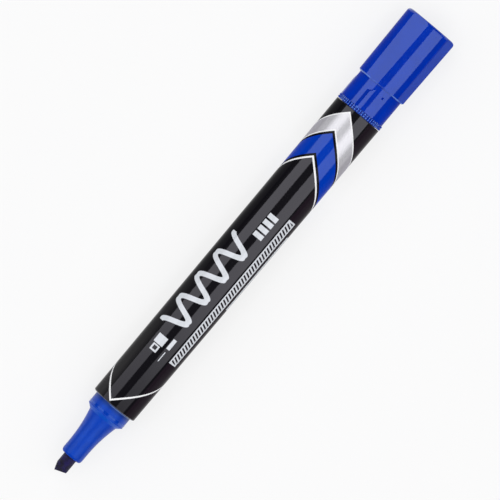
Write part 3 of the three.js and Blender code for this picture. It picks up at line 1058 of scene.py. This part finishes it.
def flatBlock():
    size = flatSize
    skirtEnd = ringSize["width"] + capSize["skirtLength"]
    headLength = (capHigh.x - capLow.x) / mm - skirtEnd
    head = capLow.x / mm + skirtEnd
    slope = size["rise"] / headLength
    half, front, top = size["cutHalf"], size["front"], size["cutTop"]
    outline = [(-half, front), (half, front), (half, top), (-half, top)]
    shape = bar(outline, head - size["cutStart"], head + headLength + size["cutEnd"])
    for vert in shape.verts:
        if vert.co.z < (front + top) / 2 * mm:
            vert.co.z += (vert.co.x - head * mm) * slope
    return shape


def notchWedge():
    size = notchSize
    skirt = capSize["skirtRadius"]
    at = capLow.x / mm + size["along"]
    half = size["length"] / 2
    wide, top = size["width"] / 2, skirt + size["above"]
    outline = [(-wide, top), (wide, top), (0, skirt - size["depth"])]
    return spunAboutX(bar(outline, at - half, at + half), -size["turn"])


def makeCap():
    size = capSize
    length = (capHigh.x - capLow.x) / mm
    linerEnd = (linerHigh.x - capLow.x) / mm
    crest = size["skirtRadius"] + ringSize["height"]
    skirtEnd = ringSize["width"] + size["skirtLength"]
    headFront = size["skirtRadius"] + size["headStep"]
    bevel = ringSize["bevel"]
    middle = ringSize["width"] / 2
    section = [
        (linerEnd, 0),
        (linerEnd, size["bore"]),
        (size["mouthBevel"], size["bore"]),
        (0, size["bore"] + size["mouthBevel"]),
        (0, crest - bevel),
        (bevel, crest),
        (middle - ringSize["grooveWidth"] / 2, crest),
        (middle, crest - ringSize["grooveDepth"]),
        (middle + ringSize["grooveWidth"] / 2, crest),
        (ringSize["width"] - bevel, crest),
        (ringSize["width"], crest - bevel),
        (ringSize["width"], size["skirtRadius"]),
        (skirtEnd, size["skirtRadius"]),
        (skirtEnd, headFront - size["stepBevel"]),
        (skirtEnd + size["stepBevel"], headFront),
        (length, headFront + size["headFlare"], size["endRound"]),
        (length, size["gateRadius"], size["gateRound"]),
        (length - size["gateDepth"], size["gateRadius"], size["gateRound"]),
        (length - size["gateDepth"], 0),
    ]
    shape = turned(section, capLow.x, steps=size["turnSteps"],
                   cornerSegments=size["cornerSegments"])
    cutTeeth(shape)
    flats = [spunAboutX(flatBlock(), -flatSize["turn"] - 360 * i / flatSize["count"])
             for i in range(flatSize["count"])]
    shape = combined(shape, "cap_cut", "DIFFERENCE", flats + [notchWedge()])
    ribs = [spunAboutX(ribBar(), -ribSize["turn"] - ribSize["spacing"] * i)
            for i in range(ribSize["count"])]
    shape = combined(shape, "cap_ribbed", "UNION", ribs)
    piece(shape, "cap_shell", "cap", "cap", materials["glossyBlue"], size["sharpAngle"])


linerSize = {
    "radius": 5.92,
    "wall": 0.9,
    "floor": 0.9,
    "lip": 0.4,
    "lipRound": 0.12,
    "floorRound": 0.4,
    "endRound": 0.3,
}


def makeInnerCap():
    size = linerSize
    length = (linerHigh.x - linerLow.x) / mm
    bore = size["radius"] - size["wall"]
    section = [
        (length - size["floor"], 0),
        (length - size["floor"], bore, size["floorRound"]),
        (size["lip"], bore),
        (0, bore + size["lip"]),
        (0, size["radius"], size["lipRound"]),
        (length, size["radius"], size["endRound"]),
        (length, 0),
    ]
    shape = turned(section, linerLow.x)
    piece(shape, "cap_liner", "cap", "inner_cap", materials["milky"])


materials = {
    "barrel": printedBarrel(),
    "glossyBlue": glossyBlue(),
    "satinBlue": satinBlue(),
    "milky": milkyPlastic(),
    "felt": inkedFelt(),
    "fibre": inkedFibre(),
    "film": clearFilm(),
}
print("stage: materials", len(materials))

makeBarrel()
makeNibHolder()
makeNib()
makeTailPlug()
makeCap()
makeInnerCap()

for nodeName, material in (("ink_reservoir", "fibre"), ("reservoir_film", "film")):
    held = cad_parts[nodeName]
    held.data.materials.clear()
    held.data.materials.append(materials[material])
print("stage: pieces made")


# Floor, light and camera

stageSize = {
    "floorHalf": 12.0,  # metres
    "floorWhite": (0.86, 0.86, 0.87),
    "floorGrey": (0.85, 0.85, 0.86),
    "floorCloud": {"scale": 0.02, "detail": 2.0},
    "glow": 0.75,  # share of its white that the floor gives off itself
    "surround": 0.03,
}


# The white table: it glows for the camera and in reflections, and still takes the marker's shadow.
def floorMaterial():
    nodes = Nodes("white_table")
    rays = nodes.add("LightPath")
    seen = nodes.anyOf(*(rays.outputs[f"Is {kind} Ray"] for kind in ("Camera", "Glossy", "Transmission")))
    cloud = nodes.noise(**stageSize["floorCloud"])
    tint = nodes.mix(cloud, stageSize["floorGrey"], stageSize["floorWhite"])
    plain = nodes.add("BsdfDiffuse", {"Color": tint}).outputs[0]
    glow = nodes.add("Emission", {"Color": (1, 1, 1), "Strength": 1.0}).outputs[0]
    share = nodes.times(seen, stageSize["glow"])
    lit = nodes.add("MixShader", {0: share, 1: plain, 2: glow}).outputs[0]
    back = nodes.add("NewGeometry").outputs["Backfacing"]
    clear = nodes.add("BsdfTransparent").outputs[0]
    sided = nodes.add("MixShader", {0: back, 1: lit, 2: clear}).outputs[0]
    nodes.link(sided, nodes.output.inputs["Surface"])
    return nodes.material


def makeFloor():
    shape = bmesh.new()
    bmesh.ops.create_grid(shape, x_segments=1, y_segments=1, size=stageSize["floorHalf"])
    floor = placed("floor", meshOf(shape, "floor"))
    floor.data.materials.append(floorMaterial())


makeFloor()

world = bpy.data.worlds.new("surround")
bpy.context.scene.world = world
world.use_nodes = True
world.node_tree.nodes["Background"].inputs["Color"].default_value = (1, 1, 1, 1)
world.node_tree.nodes["Background"].inputs["Strength"].default_value = stageSize["surround"]

# Two long strip boxes hang either side of the camera, in line with the marker, and a broad one
# above it lights the colours and makes no reflection. Lengths are metres, and turns are degrees
# from straight up, towards +Y for a positive one.
lightSize = {
    "stripTurns": {"left_strip": (20.5, 64.5), "right_strip": (-62.5, -13.5)},
    "stripDistance": 1.1,
    "stripLength": 2.6,
    "stripRadiance": 1.0,
    "topHeight": 2.4,
    "topSide": 2.2,
    "topRadiance": 2.2,
}
centre = Vector((0, 0, axisHeight))


# A place and three axes as a matrix.
def pose(place, right, up, back):
    return Matrix.Translation(place) @ Matrix((right, up, back)).transposed().to_4x4()


# A rectangle of light that faces the marker.
def areaLight(name, place, width, length, radiance):
    data = bpy.data.lights.new(name, "AREA")
    data.shape = "RECTANGLE"
    data.size, data.size_y = length, width
    data.energy = radiance * math.pi * width * length
    made = placed(name, data)
    back = (place - centre).normalized()
    side = Vector((1, 0, 0))
    made.matrix_world = pose(place, side, back.cross(side), back)
    made.visible_camera = False
    return made


def makeLights():
    size = lightSize
    reach = size["stripDistance"]
    for name, turns in size["stripTurns"].items():
        low, high = (math.radians(t) for t in turns)
        middle, half = (low + high) / 2, (high - low) / 2
        place = centre + Vector((0, math.sin(middle), math.cos(middle))) * reach
        areaLight(name, place, 2 * reach * math.tan(half), size["stripLength"], size["stripRadiance"])
    place = centre + Vector((0, 0, size["topHeight"]))
    softTop = areaLight("soft_top", place, size["topSide"], size["topSide"], size["topRadiance"])
    softTop.visible_glossy = False


makeLights()
print("stage: lights")

# Camera: the photograph looks straight down on the marker, which runs up to the right at 50 degrees.
# Frame pixels are the photograph's, 500 across.
cameraSize = {
    "distance": 1.84,
    "pixelsPerMm": 3.6013,
    "framePixels": 500,
    "sensor": 36.0,
    "turn": 50.0,  # degrees from the picture's right to the cap's end
    "tilt": 1.7,  # degrees that the camera leans towards the cap's end
    "originPixel": (244.74, 249.06),  # where the middle of the marker is seen
    "clip": (0.05, 60),
}


def makeCamera():
    size = cameraSize
    data = bpy.data.cameras.new("camera")
    data.sensor_width = size["sensor"]
    span = size["framePixels"] / size["pixelsPerMm"] * mm
    data.lens = size["sensor"] * size["distance"] / span
    data.clip_start, data.clip_end = size["clip"]
    made = placed("camera", data)
    turn, tilt = math.radians(size["turn"]), math.radians(size["tilt"])
    back = Vector((math.sin(tilt), 0, math.cos(tilt)))
    across = Vector((0, 1, 0))
    along = across.cross(back)
    right = along * math.cos(turn) - across * math.sin(turn)
    up = along * math.sin(turn) + across * math.cos(turn)
    offX, offY = (p - size["framePixels"] / 2 for p in size["originPixel"])
    aim = centre + (up * offY - right * offX) / size["pixelsPerMm"] * mm
    made.matrix_world = pose(aim + back * size["distance"], right, up, back)
    bpy.context.scene.camera = made


makeCamera()
bpy.context.scene.view_settings.view_transform = "Standard"
